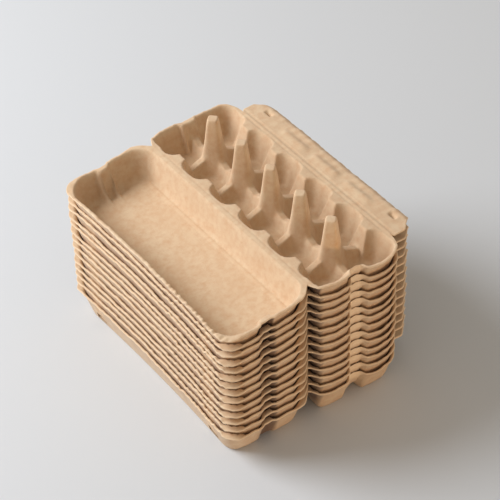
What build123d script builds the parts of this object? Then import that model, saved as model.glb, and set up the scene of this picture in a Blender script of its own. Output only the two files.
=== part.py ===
from build123d import *
import os
from math import atan, cos, degrees, radians, sin, sqrt, tan

# Stack of moulded pulp egg cartons, open and nested one inside the next. Millimetres, +Z up.
# One carton is drawn with its rim at height 0. X runs from the lid tray over the cell tray to the
# closing flap, from the hinge line between the trays. Y runs along the cells, from their middle.

# Stack
carton_count = 14
wall = 2.0  # thickness of the pressed pulp
nest_clearance = 0.2  # air between one carton's steepest wall and the next one's

# Cell tray
cell_rows = 2
cells_per_row = 6
cell_pitch = 48.0
cell_depth = 30.0  # rim down to the inside of a cell's floor
floor_size = 24.0  # flat at the bottom of a cell, inside
saddle_drop = 18.0  # rim down to the crest between two cells
wall_draft = 18.0  # lean of the tray's outer walls, in degrees
tab_reach = 10.7  # how far a side tab reaches in from the wall, at the rim
end_inset = 3.0  # the end walls stand this far inside the cells' outermost pitch lines
post_height = 30.0  # a post's top, above the rim
post_top = 8.4

# Rim and hinges
lip = 3.0  # the rim stands this far past its opening
hinge_ledge = 4.0  # from an opening to the hinge line beside it
hinge_length = 252.0  # along each hinge line. The rims' corners are cut off past its ends

# Lid tray
lid_reach = 93.0  # width of the lid's opening
lid_length = 277.0
lid_side_draft = 14.0
lid_end_draft = 18.0
rib_reach = 8.0  # upright rib in the middle of each end wall
rib_width = 16.0
lid_fall = 0.01  # slope that each lid has more than the lid below it, down from the hinge

# Closing flap
flap_reach = 32.0
flap_tip_length = 224.0  # along its outer edge, which is shorter than its hinge line
edge_turn = 5.0  # the outer edge turns down over this width, and thins as it goes
edge_lean = 40.0  # how steeply it turns down, in degrees

# Latches: a button pressed down from the flap, and a slot for it in the lid's outer wall
latch_spread = 200.0  # from one latch to the other
button_length = 14.0
button_width = 8.0
button_depth = 5.0
button_reach = 20.0  # middle of a button, from the flap's hinge line
latch_clearance = 1.0
slot_height = 4.0
slot_rise = 5.0  # middle of a slot, above the inside of the lid's floor

# Worked out from the sizes above
tray_width = cell_rows * cell_pitch
tray_length = cells_per_row * cell_pitch
middle_x = hinge_ledge + tray_width / 2
lid_line = -hinge_ledge - lid_reach - lip  # outer edge of the lid's rim
base_line = 2 * hinge_ledge + tray_width  # hinge line of the flap
flap_line = base_line + flap_reach
bend_line = flap_line - edge_turn
end_wall = tray_length / 2 - end_inset  # from the middle to the opening's end
tray_half = end_wall + lip  # from the middle to the rim's end
lid_half = lid_length / 2 + lip
tray_cut = tray_half - hinge_length / 2  # chamfer at each corner of the cell tray's rim
lid_cut = lid_half - hinge_length / 2
floor_gap = (cell_pitch - floor_size) / 2  # half the width of a ridge at its foot
ridge_draft = degrees(atan(floor_gap / (cell_depth - saddle_drop)))
post_draft = degrees(atan((sqrt(2) * floor_gap - post_top / 2) / (post_height + cell_depth)))
button_lean = degrees(atan(button_width / 2 / button_depth))
sharp = [None] * 4  # four corners without a chamfer


def slope(angle):
    return tan(radians(angle))


def skin(angle, growth):
    # Level distance between a wall that leans by angle and the same wall moved out by growth
    return growth / cos(radians(angle))


def moved_leg(leg, distance):
    # A chamfer's leg once every side of its outline has moved out by distance
    return leg + (2 - sqrt(2)) * distance


def face_of(corners):
    # One flat face. Corners that fall together count once, and a face with no area is left out
    kept = []
    for corner in corners:
        if all((corner - other).length > 1e-6 for other in kept):
            kept.append(corner)
    return [Face(Wire.make_polygon(kept, close=True))] if len(kept) > 2 else []


def drafted(low_ring, low_z, high_ring, high_z, lean=0):
    # Solid between two outlines that have as many corners as each other. They are level, or slope by lean
    low = [Vector(x, y, low_z + lean * x) for x, y in low_ring]
    high = [Vector(x, y, high_z + lean * x) for x, y in high_ring]
    faces = face_of(low) + face_of(high)
    for i in range(len(low)):
        j = (i + 1) % len(low)
        faces += face_of([low[i], low[j], high[j], high[i]])
    return Solid(Shell(faces))


def outline(x_low, x_high, y_low, y_high, legs):
    # Rectangle with a chamfer of its own at each corner. A leg of None keeps the corner sharp
    corners = (
        (x_low, y_low, (0, 1), (1, 0)),
        (x_high, y_low, (-1, 0), (0, 1)),
        (x_high, y_high, (0, -1), (-1, 0)),
        (x_low, y_high, (1, 0), (0, -1)),
    )
    ring = []
    for (x, y, first, second), leg in zip(corners, legs):
        if leg is None:
            ring.append((x, y))
        else:
            ring.append((x + first[0] * leg, y + first[1] * leg))
            ring.append((x + second[0] * leg, y + second[1] * leg))
    return ring


def tab_draft():
    # Lean of a side tab's flanks, which run from the corner of a cell's floor to the rim
    wall_foot = cell_pitch / 2 - cell_depth * slope(wall_draft)
    foot = (wall_foot + floor_size / 2) / sqrt(2)
    rim = (cell_pitch - tab_reach) / sqrt(2)
    return degrees(atan((rim - foot) / cell_depth))


def ridge_distance(z, growth):
    # From a cell's middle to the ridge wall between it and the next cell, at height z
    return cell_pitch / 2 + (z + saddle_drop) * slope(ridge_draft) + skin(ridge_draft, growth)


def cell_space(row, place, growth):
    # The room in one cell, or that room grown by growth. Above the crests, rooms run into each other
    centre_x = hinge_ledge + cell_pitch * (row + 0.5)
    centre_y = cell_pitch * (place + 0.5) - tray_length / 2
    outer_x = (row == 0, row == cell_rows - 1)
    outer_y = (place == 0, place == cells_per_row - 1)
    corner_leg = moved_leg(tray_cut, -lip)
    flank = cell_pitch - tab_reach + sqrt(2) * skin(tab_draft(), growth)

    def ring(z, at_floor):
        ridge_half = ridge_distance(z, growth)
        wall_out = z * slope(wall_draft) + skin(wall_draft, growth)
        half_x = [cell_pitch / 2 + wall_out if outer else ridge_half for outer in outer_x]
        half_y = [cell_pitch / 2 - end_inset + wall_out if outer else ridge_half for outer in outer_y]
        legs = []
        for i, j in ((0, 0), (1, 0), (1, 1), (0, 1)):
            if outer_x[i] and outer_y[j]:
                legs.append(moved_leg(corner_leg, wall_out))
            elif outer_x[i] or outer_y[j]:
                inset = end_inset if outer_y[j] else 0
                legs.append(0 if at_floor else half_x[i] + half_y[j] + inset - flank)
            else:
                legs.append(None)
        x_sides = (centre_x - half_x[0], centre_x + half_x[1])
        y_sides = (centre_y - half_y[0], centre_y + half_y[1])
        return outline(*x_sides, *y_sides, legs)

    floor_z = -cell_depth - growth
    return drafted(ring(floor_z, True), floor_z, ring(0, False), 0)


def post(number, shrink):
    # Post that stands cornerwise where four cells meet, on the corners of their floors
    y = cell_pitch * (number + 1) - tray_length / 2
    foot_z = -cell_depth - shrink
    foot = cell_pitch - 2 * ridge_distance(foot_z, shrink)
    top = sqrt(2) * (post_top / 2 + shrink * slope(post_draft) - skin(post_draft, shrink))

    def ring(reach):
        return [(middle_x + reach, y), (middle_x, y + reach), (middle_x - reach, y), (middle_x, y - reach)]

    return drafted(ring(foot), foot_z, ring(top), post_height - shrink)


def rib(end, growth, lean):
    # Rib up the inside of a lid's end wall. It thickens downward, as every moulded form does
    middle = -hinge_ledge - lid_reach / 2
    inner_y = lid_length / 2
    outer_y = lid_half + wall
    flank = atan(rib_width / 2 / rib_reach)

    def ring(z):
        nose = rib_reach + (-z * slope(lid_side_draft) - skin(lid_side_draft, growth)) / sin(flank)
        half = (nose + outer_y - inner_y) * tan(flank)
        return [(middle - half, end * outer_y), (middle + half, end * outer_y), (middle, end * (inner_y - nose))]

    foot_z = -cell_depth - wall
    return drafted(ring(foot_z), foot_z, ring(0), 0, lean)


def lid_space(growth, lean):
    # The room in the lid tray, less the rib on each end wall
    def ring(z):
        side = z * slope(lid_side_draft) + skin(lid_side_draft, growth)
        end = z * slope(lid_end_draft) + skin(lid_end_draft, growth)
        legs = [moved_leg(lid_cut, (side + end) / 2 - lip)] * 4
        half_y = lid_length / 2 + end
        return outline(-hinge_ledge - lid_reach - side, side - hinge_ledge, -half_y, half_y, legs)

    floor_z = -cell_depth - growth
    room = drafted(ring(floor_z), floor_z, ring(0), 0, lean)
    return room.cut(*[rib(end, growth, lean) for end in (-1, 1)])


def sheet(ring, lean=0):
    return drafted(ring, -wall, ring, 0, lean)


def flap():
    # Strip with slanted ends. It is as long as the rim's straight edge at the hinge line
    root_half = hinge_length / 2
    tip_half = flap_tip_length / 2
    drop = edge_turn * slope(edge_lean)
    bend_under = bend_line - wall * slope(edge_lean / 2)
    section = [(base_line, 0), (bend_line, 0), (flap_line, -drop), (bend_under, -wall), (base_line, -wall)]
    profile = Plane.XZ * make_face(Polyline(*section, close=True))
    ring = [(base_line, -root_half), (flap_line, -tip_half), (flap_line, tip_half), (base_line, root_half)]
    plan = extrude(make_face(Polyline(*ring, close=True)), drop, both=True)
    return extrude(profile, tray_half, both=True).intersect(plan).solid()


def button(end, growth):
    # Pressed pocket with a hipped bottom, or the same pocket grown by growth
    x = base_line + button_reach
    y = end * latch_spread / 2
    ridge = (button_length - button_width) / 2
    half_x = button_width / 2 + skin(button_lean, growth)
    half_y = half_x + ridge
    bottom_z = -button_depth - growth / sin(radians(button_lean))
    mouth = outline(x - half_x, x + half_x, y - half_y, y + half_y, sharp)
    return drafted(outline(x, x, y - ridge, y + ridge, sharp), bottom_z, mouth, 0)


def latch_slot(end, lean):
    # Slot through the lid's outer wall
    inner_x = -hinge_ledge - lid_reach + 1.5 * cell_depth * slope(lid_side_draft)
    low_y, high_y = [end * latch_spread / 2 + side * (button_length / 2 + latch_clearance) for side in (-1, 1)]
    ring = outline(lid_line, inner_x, low_y, high_y, sharp)
    middle_z = slot_rise - cell_depth
    return drafted(ring, middle_z - slot_height / 2, ring, middle_z + slot_height / 2, lean)


def cell_tray():
    # The cell tray with its rim, its posts and the closing flap
    cells = [(row, place) for row in range(cell_rows) for place in range(cells_per_row)]
    posts = range(cells_per_row - 1)
    above_rim = Pos(middle_x, 0, post_height) * Box(tray_width, tray_length, 2 * post_height)
    form = sheet(outline(0, base_line, -tray_half, tray_half, [tray_cut] * 4)).fuse(
        flap(),
        *[button(end, wall) for end in (-1, 1)],
        *[cell_space(row, place, wall) for row, place in cells],
        *[post(number, 0).intersect(above_rim).solid() for number in posts],
    )
    first, *others = [cell_space(row, place, 0) for row, place in cells]
    room = first.fuse(*others).cut(*[post(number, 0) for number in posts])
    hollows = [post(number, wall) for number in posts]
    pockets = [button(end, 0) for end in (-1, 1)]
    return form.cut(room, *hollows, *pockets).clean().solid()


def lid_tray(lean):
    rim = sheet(outline(lid_line, 0, -lid_half, lid_half, [lid_cut] * 4), lean)
    slots = [latch_slot(end, lean) for end in (-1, 1)]
    return rim.fuse(lid_space(wall, lean)).cut(lid_space(0, lean), *slots).clean().solid()


# A nested carton comes to rest on the steepest wall, so that wall sets the height between two cartons
steepest = min(post_draft, tab_draft(), wall_draft, lid_side_draft, lid_end_draft)
nest_pitch = (wall + nest_clearance) / sin(radians(steepest))
middle_of_all = (lid_line + flap_line) / 2
tray = cell_tray()

os.makedirs("parts", exist_ok=True)
for level in range(carton_count):
    # The lids fan out a little from the lowest one, which lies flat
    carton = tray.fuse(lid_tray(lid_fall * level)).clean().solid()
    rim_z = cell_depth + wall + level * nest_pitch
    export_step(Pos(-middle_of_all, 0, rim_z) * carton, f"parts/carton_{level + 1:02d}.step")
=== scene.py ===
import math
import bpy
import numpy as np
from mathutils import Matrix, Vector


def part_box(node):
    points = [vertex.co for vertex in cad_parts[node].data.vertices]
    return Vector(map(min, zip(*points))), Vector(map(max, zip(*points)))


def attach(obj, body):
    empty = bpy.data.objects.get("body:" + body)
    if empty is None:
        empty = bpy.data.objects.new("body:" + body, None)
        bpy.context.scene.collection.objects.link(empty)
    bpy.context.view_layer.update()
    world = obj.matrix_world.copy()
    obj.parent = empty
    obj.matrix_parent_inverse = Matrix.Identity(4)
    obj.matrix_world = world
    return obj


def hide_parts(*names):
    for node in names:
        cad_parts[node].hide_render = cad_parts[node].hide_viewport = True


# A stack of open egg cartons in moulded pulp. Every carton is one thin sheet, built here as a height
# field with an upper and a lower skin, bent a little out of true as wet pulp is when it dries.

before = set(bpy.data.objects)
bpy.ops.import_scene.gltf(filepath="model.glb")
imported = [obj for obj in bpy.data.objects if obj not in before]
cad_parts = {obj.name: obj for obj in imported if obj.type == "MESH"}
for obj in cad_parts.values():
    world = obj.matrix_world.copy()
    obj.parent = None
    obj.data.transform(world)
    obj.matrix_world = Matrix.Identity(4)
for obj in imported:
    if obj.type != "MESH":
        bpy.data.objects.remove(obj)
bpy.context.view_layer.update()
print("frame loaded:", len(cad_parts), "cartons")

millimetre = 0.001
root2 = math.sqrt(2)


def linearColour(hexText):
    # sRGB hex to the linear values that shaders take
    channels = [int(hexText[i:i + 2], 16) / 255 for i in (1, 3, 5)]
    return [c / 12.92 if c <= 0.04045 else ((c + 0.055) / 1.055) ** 2.4 for c in channels] + [1.0]


def smoothMax(a, b, blend):
    # the higher of two surfaces, with the crease between them rounded over a height of blend
    near = np.maximum(blend - np.abs(a - b), 0) / blend
    return np.maximum(a, b) + near * near * blend / 4


def smoothMin(a, b, blend):
    return -smoothMax(-a, -b, blend)


def ramp(value, start, end):
    # 0 at start, 1 at end, smooth between, and the other way round where end is the smaller
    t = np.clip((value - start) / (end - start), 0, 1)
    return t * t * (3 - 2 * t)


def window(value, start, end, soft):
    # 1 from start to end, 0 outside
    return ramp(value, start - soft, start + soft) * (1 - ramp(value, end - soft, end + soft))


def bump(value, centre, width):
    return np.exp(-((value - centre) / width) ** 2)


def arc(radius, inward):
    # how far a quarter circle has risen at a distance inward from its foot
    return np.sqrt(np.maximum(radius ** 2 - (radius - inward) ** 2, 0))


def lean(degrees):
    return math.tan(math.radians(degrees))


def skin(degrees, growth):
    # level distance that a leaning wall moves when the form grows
    return growth / math.cos(math.radians(degrees))


def waves(rng, along, lengths):
    # sum of a few sines with random phases, about -1 to 1
    total = 0
    for length in lengths:
        total = total + np.sin(along * 2 * math.pi / length + rng.uniform(0, 2 * math.pi))
    return total / len(lengths)


camera = {
    "azimuth": -34.39,  # degrees, fitted to the rims, posts and feet in the photograph
    "elevation": 41.334,
    "roll": -1.9,
    "distance": 1961.1,  # mm
    "target": (0.62, -10.36, 118.56),  # mm
    "lens": 145.17,
    "sensor": 36,
    "clipEnd": 20,  # m
}


def addCamera():
    azimuth = math.radians(camera["azimuth"])
    elevation = math.radians(camera["elevation"])
    roll = math.radians(camera["roll"])
    level = math.cos(elevation)
    forward = Vector((-math.sin(azimuth) * level, math.cos(azimuth) * level, -math.sin(elevation)))
    right = forward.cross(Vector((0, 0, 1))).normalized()
    up = right.cross(forward)
    tiltedRight = right * math.cos(roll) + up * math.sin(roll)
    tiltedUp = up * math.cos(roll) - right * math.sin(roll)
    data = bpy.data.cameras.new("camera")
    data.lens = camera["lens"]
    data.sensor_width = camera["sensor"]
    data.clip_end = camera["clipEnd"]
    obj = bpy.data.objects.new("camera", data)
    place = (Vector(camera["target"]) - forward * camera["distance"]) * millimetre
    turn = Matrix((tiltedRight, tiltedUp, -forward)).transposed().to_4x4()
    obj.matrix_world = Matrix.Translation(place) @ turn
    bpy.context.scene.collection.objects.link(obj)
    bpy.context.scene.camera = obj


addCamera()
print("camera placed")


# One carton, in millimetres and degrees. X runs from the lid's hinge line over the cells to the flap, Y along
# the hinge from its middle, and the rim is at height 0. Spans are start, end and softness.
# Functions take growth as 0 for the sheet's upper skin and as its wall for the lower one.
sheet = {
    "wall": 2.0,
    "depth": 30.0,  # of the lid's tray and of the cells
    "lip": 3.0,
    "rimRound": 2.0,
    "hingeLedge": 4.0,
    "hingeHalf": 126.0,
    "cutSpare": 2.8,  # the cuts that part the lid's ends from the tray's start this far past the hinge
    "lidCut": 1.1,  # then their edges slope away on both sides of it
    "trayCut": 1.9,
    "cutSpan": (-1.0, 6.5, 1.2),
    "cutOverhang": 6.5,  # how much further the tray's rim stands out over them
    "hingeScores": (-1.9, 1.9),
    "scoreWidth": 0.9,
    "scoreDepth": 0.75,
    "scoreEnds": (118.0, 130.0),  # they fade out between these
}

lid = {
    "reach": 93.0,
    "half": 138.5,
    "sideDraft": 14.0,
    "endDraft": 18.0,
    "notch": (-60.0, -47.5, 2.4),  # a deep hollow in the lid's ends, under the rim
    "notchDepth": 5.5,
    "notchLeast": 0.5,  # share of it that is left at the floor
    "notchWane": (14.0, 3.0),
    "rimNotch": (-60.0, -47.5, 1.6),  # the rim draws in over it
    "rimNotchDepth": 2.0,
    "endRound": 7.0,
    "sideRound": 2.0,
    "cornerRound": 26.0,
    "floorRound": 4.0,
    "footRise": 3.6,  # fillet along the ends
    "footStart": 9.0,
    "footSlope": 0.7,
    "footRound": 1.6,
    "creaseAt": 11.0,  # a faint line along the foot of the hinge wall
    "creaseWidth": 1.4,
    "creaseHeight": 0.8,
    "creaseEnds": (8.0, 20.0),
}

tray = {
    "pitch": 48.0,
    "rows": 2,
    "cellsPerRow": 6,
    "endInset": 3.0,
    "wallDraft": 18.0,
    "scallopHalf": 19.8,  # half a cell's width between the side tabs, whose tips end the round wall
    "scallopRound": 9.0,
    "tabReach": 10.7,
    "tabLean": 0.3,
    "tabRound": 4.0,
    "crestHeight": -17.5,  # the crest between two cells, half-way along it
    "crestRise": 0.4,  # it climbs towards the post
    "crestRun": (-16.0, 12.0),
    "crestShift": 4.0,
    "crestFlat": 3.0,  # half the width of its flat top
    "crestLean": 2.3,
    "crestSkin": 1.8,
    "crestRound": 3.0,
    "floorRound": 6.0,
    "lobeStart": (7.0, 140.0),  # where the cut ends and the tray's end leans out a little
    "lobeSlope": 0.35,
    "lobeRound": 1.2,
    "cornerBulge": 4.0,
    "cornerRound": 4.0,
    "endRound": 1.0,
    "channel": (41.5, 58.5, 3.0),  # a hollow up the middle of the tray's ends
    "channelDepth": 7.5,
    "channelFar": 0.5,  # share of it at the far end
    "channelRimFar": 0.2,  # share of that by which the rim draws in there
    "channelLipless": 0.9,  # at the near end the rim has almost no lip over it
}

post = {
    "count": 5,
    "height": 30.0,
    "top": 5.3,  # half across its flats at the top, then what it gains evenly and what it flares
    "taper": 7.0,
    "flare": 4.9,
    "flarePower": 4,
    "skin": 0.8,
    "topRound": 4.5,
    "footRound": 4.0,
    "cornerRound": 3.0,  # in plan
    "cornerSpread": 1.15,  # its corners turn blunter as it widens, from bluntFrom over bluntRun
    "bluntFrom": 1.0,
    "bluntRun": 9.0,
    "topSlope": 6.0,
    "footSlope": 3.0,
}

flap = {
    "start": 104.0,
    "end": 136.0,
    "half": 123.5,
    "cornerStart": 119.5,
    "cornerSlope": 0.95,
    "cornerRound": 2.0,
    "endTrim": 0.5,
    "nickShift": 0.5,  # a nick at each end of the flap's hinge
    "nickWidth": 1.6,
    "nickDepth": 5.0,
    "scores": (101.8, 107.0),  # folded lines beside its hinge
    "bayCentres": (49.0, -2.0, -53.0),  # three raised bays along it
    "bayHalf": 17.0,
    "bayHeight": 1.7,
    "bayEnds": (-3.0, 6.0),  # from bayHalf
    "bayInner": (107.5, 118.5),
    "bayOuter": (117.5, 124.0),
    "latchX": 123.0,
    "latchY": 100.0,
    "pocketHalf": 3.2,
    "pocketLonger": 2.0,
    "pocketDraft": 38.66,
    "pocketSteep": (2.2, 1.5),  # on the side of the hinge: slope, and share of the pocket's half-width
    "pocketDepth": 5.0,
    "pocketSkin": 1.3,
    "pocketRound": 2.0,
    "pocketFloorRound": 1.5,
    "turn": (129.5, 136.8),  # the outer edge turns down
    "turnDrop": 4.2,
}

lidLine = -sheet["hingeLedge"] - lid["reach"] - sheet["lip"]
lidHalfRim = lid["half"] + sheet["lip"]
trayHalf = tray["pitch"] * tray["cellsPerRow"] / 2 - tray["endInset"] + sheet["lip"]
farAbove = 90.0  # beyond all of the sheet
farBelow = -90.0


def cutLine(x):
    # half the sheet's length where the lid and the tray part beside the hinge
    slope = np.where(x < 0, sheet["lidCut"], sheet["trayCut"])
    return sheet["hingeHalf"] + sheet["cutSpare"] + slope * np.abs(x)


def trayOutline(x):
    # half the tray's length, rim and all, at each X
    lobeX, lobeY = tray["lobeStart"]
    line = smoothMin(cutLine(x), lobeY + tray["lobeSlope"] * (x - lobeX), tray["lobeRound"])
    radius = trayHalf - sheet["hingeHalf"]
    bulge = tray["cornerBulge"]
    fromFlap = np.clip(flap["start"] - x, 0, radius)
    corner = sheet["hingeHalf"] - bulge + (radius + bulge) / radius * arc(radius, fromFlap)
    return smoothMin(smoothMin(line, corner, tray["cornerRound"]), trayHalf, tray["endRound"])


def channelAt(x, y):
    return tray["channelDepth"] * window(x, *tray["channel"]) * np.where(y < 0, 1, tray["channelFar"])


def pastTrayEnd(x, y):
    # distance in plan from the tray's end wall, square to it
    line = trayOutline(x) - channelAt(x, y)
    slope = trayOutline(x + 0.5) - channelAt(x + 0.5, y) - trayOutline(x - 0.5) + channelAt(x - 0.5, y)
    lipless = tray["channelLipless"] * window(x, *tray["channel"]) * (y < 0)
    overhang = sheet["lip"] * (1 - lipless) + sheet["cutOverhang"] * window(x, *sheet["cutSpan"])
    return (np.abs(y) - line) / np.sqrt(1 + slope ** 2) + overhang


def crest(distance, toOutside, growth):
    # the crest half a pitch away: a flat top that climbs towards the post, and steep flanks
    past = distance - tray["pitch"] / 2
    flank = np.sign(past) * np.maximum(np.abs(past) - tray["crestFlat"], 0) * tray["crestLean"]
    top = tray["crestHeight"] - tray["crestRise"] * np.clip(toOutside, *tray["crestRun"])
    return top + flank - tray["crestSkin"] * growth


def cellRoom(x, y, row, place, endWall, growth):
    # the room for one egg: crests towards its neighbours, an outer wall as round as a cubed oval, and the
    # fronts of the side tabs
    pitch = tray["pitch"]
    centreX = sheet["hingeLedge"] + pitch * (row + 0.5)
    centreY = pitch * (place + 0.5) - pitch * tray["cellsPerRow"] / 2
    toWall = centreX - x if row == 0 else x - centreX
    along = y - centreY
    toEnd = -along if place < tray["cellsPerRow"] / 2 else along
    isEnd = place in (0, tray["cellsPerRow"] - 1)
    across = np.where(toEnd > 0, 0, np.abs(along)) if isEnd else np.abs(along)
    roundness = (np.maximum(toWall, 0) / (pitch / 2)) ** 3 + (across / tray["scallopHalf"]) ** 3
    scallop = pitch / 2 * (np.cbrt(roundness) - 1) - skin(tray["wallDraft"], growth)
    front = (toWall - pitch / 2 + tray["tabReach"] - growth) / tray["tabLean"]
    walls = smoothMin(scallop / lean(tray["wallDraft"]), front, tray["tabRound"])
    middle = crest(-toWall, -np.abs(along) + tray["crestShift"], growth)
    crests = smoothMax(middle, crest(-toEnd, toWall, growth), tray["crestRound"])
    if isEnd:
        walls = smoothMax(walls, endWall, tray["scallopRound"])
    else:
        crests = smoothMax(crests, crest(toEnd, toWall, growth), tray["crestRound"])
    floor = -sheet["depth"] - growth
    return smoothMax(smoothMax(crests, floor, tray["floorRound"]), walls, tray["floorRound"])


def postsHeight(x, y, growth):
    # square posts set cornerwise between the rows, steep near the top and flaring at the foot
    fall = np.linspace(0, 1, 200)
    halfWidth = post["top"] + post["taper"] * fall + post["flare"] * fall ** post["flarePower"]
    level = post["height"] - (post["height"] + sheet["depth"]) * fall
    posts = np.full_like(x, farBelow)
    dx = x - (sheet["hingeLedge"] + tray["pitch"])
    for number in range(post["count"]):
        dy = y - tray["pitch"] * (number + 1 - tray["cellsPerRow"] / 2)
        sides = (np.abs(dx + dy) / root2, np.abs(dx - dy) / root2)
        widened = np.maximum(*sides) - post["top"] - post["bluntFrom"]
        blunt = post["cornerRound"] + post["cornerSpread"] * np.clip(widened, 0, post["bluntRun"])
        out = smoothMax(*sides, blunt) + post["skin"] * growth
        face = np.interp(out, halfWidth, level)
        face = np.where(out < halfWidth[0], level[0] + (halfWidth[0] - out) * post["topSlope"], face)
        face = np.where(out > halfWidth[-1], level[-1] - (out - halfWidth[-1]) * post["footSlope"], face)
        posts = np.maximum(posts, smoothMin(face, post["height"] - growth, post["topRound"]))
    return posts


def trayHeight(x, y, growth):
    # the twelve cells, cut out of the rim plane, with the posts left standing
    endWall = (pastTrayEnd(x, y) - skin(tray["wallDraft"], growth)) / lean(tray["wallDraft"])
    rooms = np.full_like(x, farAbove)
    for row in range(tray["rows"]):
        for place in range(tray["cellsPerRow"]):
            rooms = smoothMin(rooms, cellRoom(x, y, row, place, endWall, growth), tray["crestRound"])
    sunk = smoothMin(rooms, -growth, sheet["rimRound"])
    return smoothMax(sunk, postsHeight(x, y, growth), post["footRound"])


def notchAt(x):
    return lid["notchDepth"] * window(x, *lid["notch"])


def lidHeight(x, y, growth):
    # the lid's tray
    sideLean = lean(lid["sideDraft"])
    endLean = lean(lid["endDraft"])
    sideSkin = skin(lid["sideDraft"], growth)
    endSkin = skin(lid["endDraft"], growth)
    fromHinge = -x - sheet["hingeLedge"]
    fromOuter = lid["reach"] - fromHinge
    slope = notchAt(x + 0.5) - notchAt(x - 0.5)
    least = lid["notchLeast"]
    wane = least + (1 - least) * ramp(lid["half"] - np.abs(y), *lid["notchWane"])
    fromEnd = (lid["half"] - notchAt(x) * wane - np.abs(y)) / np.sqrt(1 + slope ** 2)
    hingeWall = -(fromHinge + sideSkin) / sideLean
    outerWall = -(fromOuter + sideSkin) / sideLean
    endWall = -(fromEnd + endSkin) / endLean
    walls = smoothMax(smoothMax(hingeWall, outerWall, lid["sideRound"]), endWall, lid["cornerRound"])
    cut = lidHalfRim - sheet["hingeHalf"] - (2 - root2) * sheet["lip"]
    for side in (fromHinge, fromOuter):
        corner = ((cut - side - fromEnd) * root2 - sideSkin - endSkin) / (sideLean + endLean)
        walls = smoothMax(walls, corner, lid["cornerRound"])
    floor = np.full_like(x, -sheet["depth"] - growth)
    foot = floor + lid["footRise"] - lid["footSlope"] * (fromEnd - lid["footStart"])
    crease = bump(fromHinge, lid["creaseAt"], lid["creaseWidth"]) * ramp(fromEnd, *lid["creaseEnds"])
    base = smoothMax(floor + lid["creaseHeight"] * crease, foot, lid["footRound"])
    return smoothMin(smoothMax(base, walls, lid["floorRound"]), -growth, sheet["rimRound"])


def flapHeight(x, y, growth):
    # the closing flap: raised bays, two latch pockets and a turned edge
    z = np.full_like(x, -growth)
    start, end = flap["bayEnds"]
    for centre in flap["bayCentres"]:
        along = 1 - ramp(np.abs(y - centre), flap["bayHalf"] + start, flap["bayHalf"] + end)
        across = ramp(x, *flap["bayInner"]) * (1 - ramp(x, *flap["bayOuter"]))
        z = z + flap["bayHeight"] * along * across
    half = flap["pocketHalf"] + skin(flap["pocketDraft"], growth)
    past = x - flap["latchX"]
    steepness, share = flap["pocketSteep"]
    inX = np.where(past < 0, -past * steepness - half * share, past - half)
    bottom = -flap["pocketDepth"] - growth * flap["pocketSkin"]
    for centre in (-flap["latchY"], flap["latchY"]):
        inY = np.abs(y - centre) - half - flap["pocketLonger"]
        pocket = smoothMax(inX, inY, flap["pocketRound"]) / lean(flap["pocketDraft"])
        pocket = smoothMax(pocket, bottom, flap["pocketFloorRound"])
        z = smoothMin(z, pocket, flap["pocketRound"])
    return z - flap["turnDrop"] * ramp(x, *flap["turn"])


def cartonHeight(x, y, growth):
    z = np.where(x < 0, lidHeight(x, y, growth), trayHeight(x, y, growth))
    z = np.where(x > flap["start"] - 1, flapHeight(x, y, growth), z)
    fade = 1 - ramp(np.abs(y), *sheet["scoreEnds"])
    for line in sheet["hingeScores"] + flap["scores"]:
        z = z - sheet["scoreDepth"] * bump(x, line, sheet["scoreWidth"]) * fade
    return z


def halfLength(x, y):
    # half the sheet's length in Y at each X: the lid, the cuts at its hinge, the tray and the flap
    radius = lidHalfRim - sheet["hingeHalf"]
    lidEnd = sheet["hingeHalf"] + arc(radius, np.clip(x - lidLine, 0, radius))
    lidEnd = smoothMin(lidEnd, cutLine(x), lid["endRound"])
    lidEnd = lidEnd - lid["rimNotchDepth"] * window(x, *lid["rimNotch"])
    trayEnd = trayOutline(x) - channelAt(x, y) * np.where(y < 0, 1, tray["channelRimFar"])
    nick = flap["nickDepth"] * bump(x, flap["start"] + flap["nickShift"], flap["nickWidth"])
    cornered = flap["cornerSlope"] * np.maximum(x - flap["cornerStart"], 0)
    flapEnd = flap["half"] - np.maximum(nick, cornered)
    flapEnd = smoothMin(flapEnd, flap["half"] - flap["endTrim"], flap["cornerRound"])
    return np.where(x < 0, lidEnd, np.where(x < flap["start"], trayEnd, flapEnd))


drying = {
    "bow": 3.6,  # the lid's outer wall bows in, most at its middle
    "bowHalf": 128.0,
    "bowRun": (55.0, 97.0),
    "nearEnd": (112.0, 136.0),
    "nearBulge": (76.0, 14.0, -1.4),  # the near end of the second row of cells: where, width and size
    "nearLobes": ((49.0, 7.0, 2.6), (74.0, 14.0, -3.8), (24.0, 12.0, -1.2)),  # the same for its rim's height
    "lidFall": 0.01,  # extra slope of each lid over the one below
    "looseFrom": 12,  # the lids from this one up stand a little off the rest
    "looseLift": 1.3,
    "looseRun": (50.0, 97.0),
    "rimEnds": (120.0, 143.0),  # how far in the outer rims' waves reach, in Y and then in X on each side
    "rimLid": (88.0, 100.0),
    "rimFlap": (106.0, 136.0),
    "waveHeight": 0.8,
    "waveSlant": 0.4,
    "waveLengths": ((37, 61, 19), (83, 47, 23, 11)),  # along X with some slant, and along Y
    "waveSide": 0.6,
    "sideLengths": ((71, 31, 13, 7), (53, 27, 11, 6)),
    "rimShift": (0.6, 0.4, 1.0),  # the most that a whole rim is out of place in X, Y and height
    "tornHeight": 1.1,  # the lid's outer edge is torn, more so at the near end
    "tornEdge": (90.0, 98.0),
    "tornRun": (-30.0, 60.0),
    "tornLengths": (9.1, 5.7),
}


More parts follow.
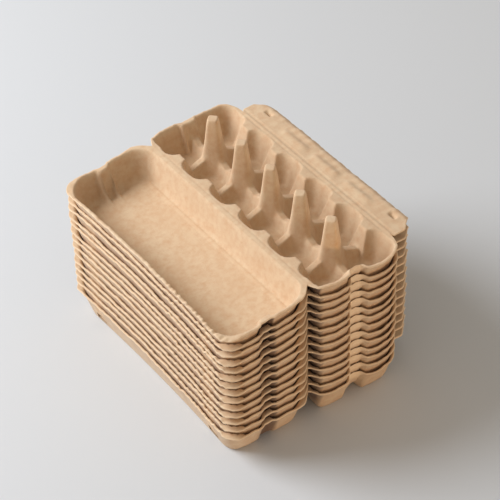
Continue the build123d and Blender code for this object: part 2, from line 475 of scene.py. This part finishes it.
def deform(x, y, z, level, rng):
    # how this carton dried: a bowed wall, lobes at the near end, a sagging lid and rims that wave
    height = np.clip(1 + z / sheet["depth"], 0, 1)  # 1 at the rim, 0 at the floor
    nearEnd = ramp(np.abs(y), *drying["nearEnd"]) * (y < 0)
    lobes = sum(size * bump(x, place, width) for place, width, size in drying["nearLobes"])
    place, width, size = drying["nearBulge"]
    edge = ramp(np.abs(y), *drying["rimEnds"]) + ramp(-x, *drying["rimLid"]) + ramp(x, *drying["rimFlap"])
    edge = np.clip(edge, 0, 1) * height
    acrossLengths, alongLengths = drying["waveLengths"]
    lengthsX, lengthsY = drying["sideLengths"]
    shiftX, shiftY, shiftZ = drying["rimShift"]
    dx = drying["bow"] * np.clip(1 - (y / drying["bowHalf"]) ** 2, 0, 1) * ramp(-x, *drying["bowRun"])
    dy = size * bump(x, place, width) * nearEnd
    dz = lobes * nearEnd * height ** 2 + np.where(x < 0, drying["lidFall"] * level * x, 0)
    if level + 1 >= drying["looseFrom"]:
        dz = dz + drying["looseLift"] * ramp(-x, *drying["looseRun"])
    dz = dz + edge * drying["waveHeight"] * waves(rng, x + drying["waveSlant"] * y, acrossLengths)
    dz = dz + edge * drying["waveHeight"] * waves(rng, y, alongLengths)
    dz = dz + edge * rng.uniform(-shiftZ, shiftZ)
    torn = ramp(-x, *drying["tornEdge"]) * ramp(-y, *drying["tornRun"])
    dz = dz + drying["tornHeight"] * torn * waves(rng, y, drying["tornLengths"])
    dx = dx + edge * drying["waveSide"] * waves(rng, y, lengthsX)
    dx = dx + edge * rng.uniform(-shiftX, shiftX)
    dy = dy + edge * drying["waveSide"] * waves(rng, x, lengthsY)
    dy = dy + edge * rng.uniform(-shiftY, shiftY)
    return x + dx, y + dy, z + dz


sheetMesh = {
    "fineStep": 1.3,  # mm between the uppermost carton's grid lines
    "coarseStep": 2.45,
    "postHalf": 15.0,  # columns this near to the posts are closer
    "postStep": 0.66,  # by this share
    "flatSpan": (-82.0, -20.0),  # and over the lid's floor they are wider apart
    "flatStep": 1.7,
    "rowHalf": 10.0,  # rows this near to the crests between cells are closer than the rest
    "rowSteps": (0.75, 1.2),
    "samples": 4000,
    "edgeSteps": (0.0, 0.22, 0.6, 1.1, 1.8),  # lines this far in from each edge
    "edgeSpare": 0.5,  # share of a step that other lines keep from those
    "exactSpare": 0.45,  # and from the exact places
    "freeHalf": 100.0,  # rows further out than this follow the sheet's own length
    "slotHalf": 8.0,  # the latch slots in the lid's outer wall
    "slotInside": (-91.9, -91.05, -90.2),  # lower edge, middle and upper edge on the inner skin
    "slotOutside": (-94.0, -93.15, -92.3),
    "seed": 40,
}


def gridLines(low, high, stepAt, exact):
    # lines at a varying step, tight at both ends, with the nearest ones moved onto exact places
    places = np.linspace(low, high, sheetMesh["samples"])
    count = np.concatenate([[0], np.cumsum(np.diff(places) / stepAt(places[1:]))])
    whole = int(count[-1])
    inner = np.interp(np.arange(0, whole + 1) * count[-1] / whole, count, places)
    step = stepAt(inner)
    margin = sheetMesh["edgeSteps"][-1] + step * sheetMesh["edgeSpare"]
    clear = step * sheetMesh["exactSpare"]
    lines = []
    for value, edge, gap in zip(inner, margin, clear):
        if low + edge < value < high - edge and all(abs(value - place) > gap for place in exact):
            lines.append(value)
    for inward in sheetMesh["edgeSteps"]:
        lines += [low + inward, high - inward]
    return np.array(sorted(lines + list(exact)))


def columnStep(step):
    flatStart, flatEnd = sheetMesh["flatSpan"]

    def stepAt(x):
        byPosts = np.abs(x - sheet["hingeLedge"] - tray["pitch"]) < sheetMesh["postHalf"]
        overFloor = (x > flatStart) & (x < flatEnd)
        return step * (1 - byPosts * (1 - sheetMesh["postStep"]) + overFloor * (sheetMesh["flatStep"] - 1))
    return stepAt


def rowStep(step):
    outermost = tray["cellsPerRow"] / 2 - 1

    def stepAt(y):
        crestY = tray["pitch"] * np.clip(np.round(y / tray["pitch"]), -outermost, outermost)
        return step * np.where(np.abs(y - crestY) < sheetMesh["rowHalf"], *sheetMesh["rowSteps"])
    return stepAt


def sheetPoints(level, growth, columns, rows):
    # one skin of the sheet: its points, how frayed each is with its painted highlight, and how much painted
    # shade it takes
    rng = np.random.default_rng(sheetMesh["seed"] + level)
    x, v = np.meshgrid(columns, rows, indexing="ij")
    half = halfLength(x, v)
    free = sheetMesh["freeHalf"]
    outer = np.maximum(np.abs(v) - free, 0) * (half - free) / (trayHalf - free)
    y = np.sign(v) * (np.minimum(np.abs(v), free) + outer)
    z = cartonHeight(x, y, growth)
    fromEdge = np.minimum(np.minimum(x - lidLine, flap["end"] - x), half - np.abs(y))
    closing = np.clip(1 - fromEdge / (sheet["wall"] / 2), 0, 1)
    roundOff = sheet["wall"] / 2 * (1 - np.sqrt(1 - closing ** 2))
    z = z + (roundOff if growth else -roundOff)
    marks = toneMarks(x, v, z, fromEdge, growth)
    points = deform(x, y, z, level, rng)
    return np.stack(points, -1).reshape(-1, 3), np.stack(marks, -1).reshape(-1, 2)


def slotHole(index, columns, rows, edges, rowMarks):
    # grid cells that the latch slots take out of a skin, and the loops of points around them
    gone = np.zeros((len(columns) - 1, len(rows) - 1), bool)
    i0, i1 = [int(np.argmin(np.abs(columns - place))) for place in (edges[0], edges[-1])]
    loops = []
    for ends in (rowMarks[:2], rowMarks[2:]):
        j0, j1 = [int(np.argmin(np.abs(rows - place))) for place in ends]
        gone[i0:i1, j0:j1] = True
        loop = [index[i0, j] for j in range(j0, j1)] + [index[i, j1] for i in range(i0, i1)]
        loop += [index[i1, j] for j in range(j1, j0, -1)] + [index[i, j0] for i in range(i1, i0, -1)]
        loops.append(np.array(loop))
    return gone, loops


def bridge(upper, lower):
    # faces between two closed loops of points
    return np.stack([upper, np.roll(upper, -1), np.roll(lower, -1), lower], -1)


def buildSheet(name, level, step):
    inside, outside = sheetMesh["slotInside"], sheetMesh["slotOutside"]
    rowMarks = [side * flap["latchY"] + end * sheetMesh["slotHalf"] for side in (-1, 1) for end in (-1, 1)]
    columns = gridLines(lidLine, flap["end"], columnStep(step), inside + outside)
    rows = gridLines(-trayHalf, trayHalf, rowStep(step), rowMarks)
    upper, upperMarks = sheetPoints(level, 0.0, columns, rows)
    lower, lowerMarks = sheetPoints(level, sheet["wall"], columns, rows)
    points = np.concatenate([upper, lower])
    marks = np.concatenate([upperMarks, lowerMarks]).astype(np.float32)
    index = np.arange(len(upper)).reshape(len(columns), len(rows))
    shift = len(upper)
    goneUpper, loopsUpper = slotHole(index, columns, rows, inside, rowMarks)
    goneLower, loopsLower = slotHole(index, columns, rows, outside, rowMarks)
    corners = np.stack([index[:-1, :-1], index[1:, :-1], index[1:, 1:], index[:-1, 1:]], -1)
    rim = np.concatenate([index[:-1, 0], index[-1, :-1], index[:0:-1, -1], index[0, :0:-1]])
    quads = [corners[~goneUpper], corners[~goneLower][:, ::-1] + shift, bridge(rim + shift, rim)]
    for loopUpper, loopLower in zip(loopsUpper, loopsLower):
        quads.append(bridge(loopUpper, loopLower + shift))
    faces = np.concatenate(quads)
    mesh = bpy.data.meshes.new(name)
    mesh.vertices.add(len(points))
    mesh.loops.add(faces.size)
    mesh.polygons.add(len(faces))
    mesh.loops.foreach_set("vertex_index", faces.reshape(-1).astype(np.int32))
    mesh.polygons.foreach_set("loop_start", np.arange(0, faces.size, 4, dtype=np.int32))
    mesh.vertices.foreach_set("co", (points * millimetre).reshape(-1).astype(np.float32))
    mesh.update(calc_edges=True)
    mesh.validate()
    mesh.polygons.foreach_set("use_smooth", np.ones(len(mesh.polygons), bool))
    # the frayed rim's pale tone with its painted highlight, and the painted shade, as attributes for the
    # material
    for column, mark in enumerate(("frayedHighlight", "paintedShade")):
        layer = mesh.attributes.new(mark, "FLOAT", "POINT")
        layer.data.foreach_set("value", np.ascontiguousarray(marks[:, column]))
    return mesh


pulp = {
    "base": "#DCC09C",  # warm kraft, as unbleached recycled fibre dries
    "noises": {  # size in mm, detail, roughness, and whether it is drawn out along the fibre
        "blotch": (34.0, 3, 0.55, False),  # where the stock settled thicker or thinner
        "cloud": (7.0, 4, 0.6, False),  # clumps of fibre
        "darkFleck": (2.2, 6, 0.75, True),  # bits of old card
        "paleFleck": (2.8, 6, 0.75, False),
        "fibre": (1.6, 5, 0.7, True),  # about a fibre's length
        "grain": (0.7, 3, 0.6, False),  # the screen's print is finer, about 0.3 mm, and is drawn to show
    },
    "fibreScale": (1.0, 0.35, 1.0),  # how the noise is drawn out along the fibre, and where that points
    "fibreTurn": (0.3, 0.2, 0.6),
    "batches": 3,  # sheets of one batch share their mottling
    "batchShift": (0.37, 0.11, 0.23),  # m
    "tones": (  # laid over the base in turn: colour, noise, and its values where the tone starts and is full
        ("#E1C8A5", "blotch", 0.35, 0.68),
        ("#D5B28C", "cloud", 0.62, 0.30),
        ("#A98258", "darkFleck", 0.66, 0.78),
        ("#EAD5B8", "paleFleck", 0.65, 0.80),
    ),
    "markTones": (
        ("#EAD4B4", "frayedHighlight", 0.6),  # loose fibres along the cut rim, and painted highlight where its edge catches the light
        ("#502E15", "paintedShade", 0.92),  # painted shade, darkest in the notches and cuts, also on the outer walls and down in the cells
    ),
    "frayedHighlightReach": 1.6,
    "outerSkinShade": 0.19,  # how much painted shade the outer skin has all over, for its walls that lie in shade between the lips
    "pocket": 0.11,  # and how much down in the cells and the lid's ends, painted shade on their lower halves
    "lidPocket": 1.6,
    "cellRun": (4.0, 14.0),  # the cells' share of it starts and ends over these spans of X
    "cellRunOut": (104.0, 98.0),
    "lidEndRun": (112.0, 134.0),
    "notchShadeSpans": ((-62.0, -45.0, 1.4), (-1.0, 9.0, 1.0)),  # where the painted shade is full: below the lid's notch and the hinge's cuts
    "grainShare": 0.35,
    "bumpStrength": 0.35,
    "bumpDistance": 0.0006,  # m
    "surface": {"Roughness": 0.88, "Specular IOR Level": 0.45, "Sheen Weight": 0.15, "Sheen Roughness": 0.6},
}


def toneMarks(x, y, z, fromEdge, growth):
    # how frayed the rim is, with a painted highlight on its edge, and how much painted shade each point takes
    # a pale tone near the cut edge: loose fibres, and a painted highlight on the edge
    frayedHighlight = 1 - np.clip(fromEdge / pulp["frayedHighlightReach"], 0, 1)
    if growth:
        # the outer skin: painted shade all over, full under the lid's notch and the hinge's cuts, none on the
        # rim's edge
        tight = sum(window(x, *span) for span in pulp["notchShadeSpans"])
        tight = np.clip(tight, 0, 1) * (np.abs(y) > sheetMesh["freeHalf"])
        return frayedHighlight, (pulp["outerSkinShade"] + (1 - pulp["outerSkinShade"]) * tight) * (1 - frayedHighlight)
    # the upper skin: painted shade on the lower halves of the cells and of the lid's ends
    cells = ramp(x, *pulp["cellRun"]) * ramp(x, *pulp["cellRunOut"])
    lidEnds = pulp["lidPocket"] * ramp(np.abs(y), *pulp["lidEndRun"]) * (x < 0)
    halfDown = np.clip(-z / sheet["depth"] * 2, 0, 1)
    return frayedHighlight, pulp["pocket"] * (cells + lidEnds) * halfDown


def addNode(tree, kind, settings, links=None):
    # one shader node: settings by attribute or by input, links as {input: output socket}
    node = tree.nodes.new(kind)
    for key, value in settings.items():
        if isinstance(key, int) or key in node.inputs:
            node.inputs[key].default_value = value
        else:
            setattr(node, key, value)
    for key, socket in (links or {}).items():
        tree.links.new(socket, node.inputs[key])
    return node


def pulpMaterial(seed):
    # recycled pulp, moulded on a wire screen: dull and mottled, with dark and pale flecks and a felted grain
    material = bpy.data.materials.new(f"moulded_pulp_{seed:02d}")
    material.use_nodes = True
    tree = material.node_tree
    tree.nodes.clear()
    place = addNode(tree, "ShaderNodeTexCoord", {}).outputs["Object"]
    shift = [value * seed for value in pulp["batchShift"]]
    place = addNode(tree, "ShaderNodeMapping", {"Location": shift}, {"Vector": place}).outputs["Vector"]
    drawnOut = {"Scale": pulp["fibreScale"], "Rotation": pulp["fibreTurn"]}
    fibreWise = addNode(tree, "ShaderNodeMapping", drawnOut, {"Vector": place}).outputs["Vector"]
    noises = {}
    for name, (size, detail, roughness, alongFibre) in pulp["noises"].items():
        settings = {"Scale": 1000 / size, "Detail": detail, "Roughness": roughness}
        vector = fibreWise if alongFibre else place
        noises[name] = addNode(tree, "ShaderNodeTexNoise", settings, {"Vector": vector}).outputs["Fac"]
    colour = None
    for tone, name, low, high in pulp["tones"]:
        span = {"From Min": low, "From Max": high}
        share = addNode(tree, "ShaderNodeMapRange", span, {"Value": noises[name]}).outputs["Result"]
        settings = {"data_type": "RGBA", 6: linearColour(pulp["base"]), 7: linearColour(tone)}
        links = {0: share, 6: colour} if colour else {0: share}
        colour = addNode(tree, "ShaderNodeMix", settings, links).outputs[2]
    # the frayed rim's pale tone, partly painted highlight, then the painted shade
    for tone, name, most in pulp["markTones"]:
        mark = addNode(tree, "ShaderNodeAttribute", {"attribute_name": name}).outputs["Fac"]
        share = addNode(tree, "ShaderNodeMath", {"operation": "MULTIPLY", 1: most}, {0: mark}).outputs[0]
        settings = {"data_type": "RGBA", 7: linearColour(tone)}
        colour = addNode(tree, "ShaderNodeMix", settings, {0: share, 6: colour}).outputs[2]
    links = {0: noises["fibre"], 1: noises["cloud"]}
    height = addNode(tree, "ShaderNodeMath", {"operation": "ADD"}, links).outputs[0]
    settings = {"operation": "MULTIPLY_ADD", 1: pulp["grainShare"]}
    height = addNode(tree, "ShaderNodeMath", settings, {0: noises["grain"], 2: height}).outputs[0]
    settings = {"Strength": pulp["bumpStrength"], "Distance": pulp["bumpDistance"]}
    felted = addNode(tree, "ShaderNodeBump", settings, {"Height": height}).outputs["Normal"]
    links = {"Base Color": colour, "Normal": felted}
    surface = addNode(tree, "ShaderNodeBsdfPrincipled", pulp["surface"], links)
    addNode(tree, "ShaderNodeOutputMaterial", {}, {"Surface": surface.outputs[0]})
    return material


def addCartons():
    names = sorted(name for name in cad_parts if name.startswith("carton_"))
    materials = [pulpMaterial(seed) for seed in range(pulp["batches"])]
    for level, name in enumerate(names):
        low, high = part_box(name)
        step = sheetMesh["fineStep"] if level == len(names) - 1 else sheetMesh["coarseStep"]
        mesh = buildSheet(f"pulp_{name}", level, step)
        hinge = low.x - lidLine * millimetre
        rim = high.z - post["height"] * millimetre
        mesh.transform(Matrix.Translation((hinge, 0, rim)))
        obj = bpy.data.objects.new(f"pulp_{name}", mesh)
        bpy.context.scene.collection.objects.link(obj)
        mesh.materials.append(materials[level % len(materials)])
        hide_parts(name)
        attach(obj, "root")
    print("cartons built:", len(names))


addCartons()


room = {
    "floorHalf": 6.0,  # m
    "floorColour": "#D7DDE1",
    "floorRoughness": 0.9,
    "skyColour": "#FFF1E2",
    "ambient": 0.42,
    "aim": (0.0, 0.0, 0.08),
    "lamps": {
        "window_key": {
            "shape": "DISK",
            "size": (1.7, 1.7),
            "place": (-1.42, 1.42, 1.5),
            "energy": 66.0,
            "colour": "#FAFAFF",
        },
        "window_fill": {  # low on the near side, as a pale skirting there would throw light back
            "shape": "RECTANGLE",
            "size": (2.2, 0.2),
            "place": (0.4, -3.2, 0.11),
            "energy": 31.0,
            "colour": "#FFD3A4",
        },
    },
}


def addFloor():
    mesh = bpy.data.meshes.new("floor")
    half = room["floorHalf"]
    corners = [(-half, -half, 0), (half, -half, 0), (half, half, 0), (-half, half, 0)]
    mesh.from_pydata(corners, [], [(0, 1, 2, 3)])
    floor = bpy.data.objects.new("floor", mesh)
    bpy.context.scene.collection.objects.link(floor)
    material = bpy.data.materials.new("matt_paper_sweep")  # seamless studio paper, no gloss
    material.use_nodes = True
    surface = material.node_tree.nodes["Principled BSDF"]
    surface.inputs["Base Color"].default_value = linearColour(room["floorColour"])
    surface.inputs["Roughness"].default_value = room["floorRoughness"]
    mesh.materials.append(material)


def addLights():
    world = bpy.data.worlds.new("studio")
    bpy.context.scene.world = world
    world.use_nodes = True
    back = world.node_tree.nodes["Background"]
    back.inputs["Color"].default_value = linearColour(room["skyColour"])
    back.inputs["Strength"].default_value = room["ambient"]
    for name, lamp in room["lamps"].items():
        data = bpy.data.lights.new(name, "AREA")
        data.shape = lamp["shape"]
        data.size, data.size_y = lamp["size"]
        data.energy = lamp["energy"]
        data.color = linearColour(lamp["colour"])[:3]
        obj = bpy.data.objects.new(name, data)
        obj.location = lamp["place"]
        obj.visible_camera = False
        toAim = Vector(room["aim"]) - obj.location
        obj.rotation_euler = toAim.to_track_quat("-Z", "Y").to_euler()
        bpy.context.scene.collection.objects.link(obj)


addFloor()
addLights()
bpy.context.scene.view_settings.view_transform = "Standard"
print("floor and light placed")
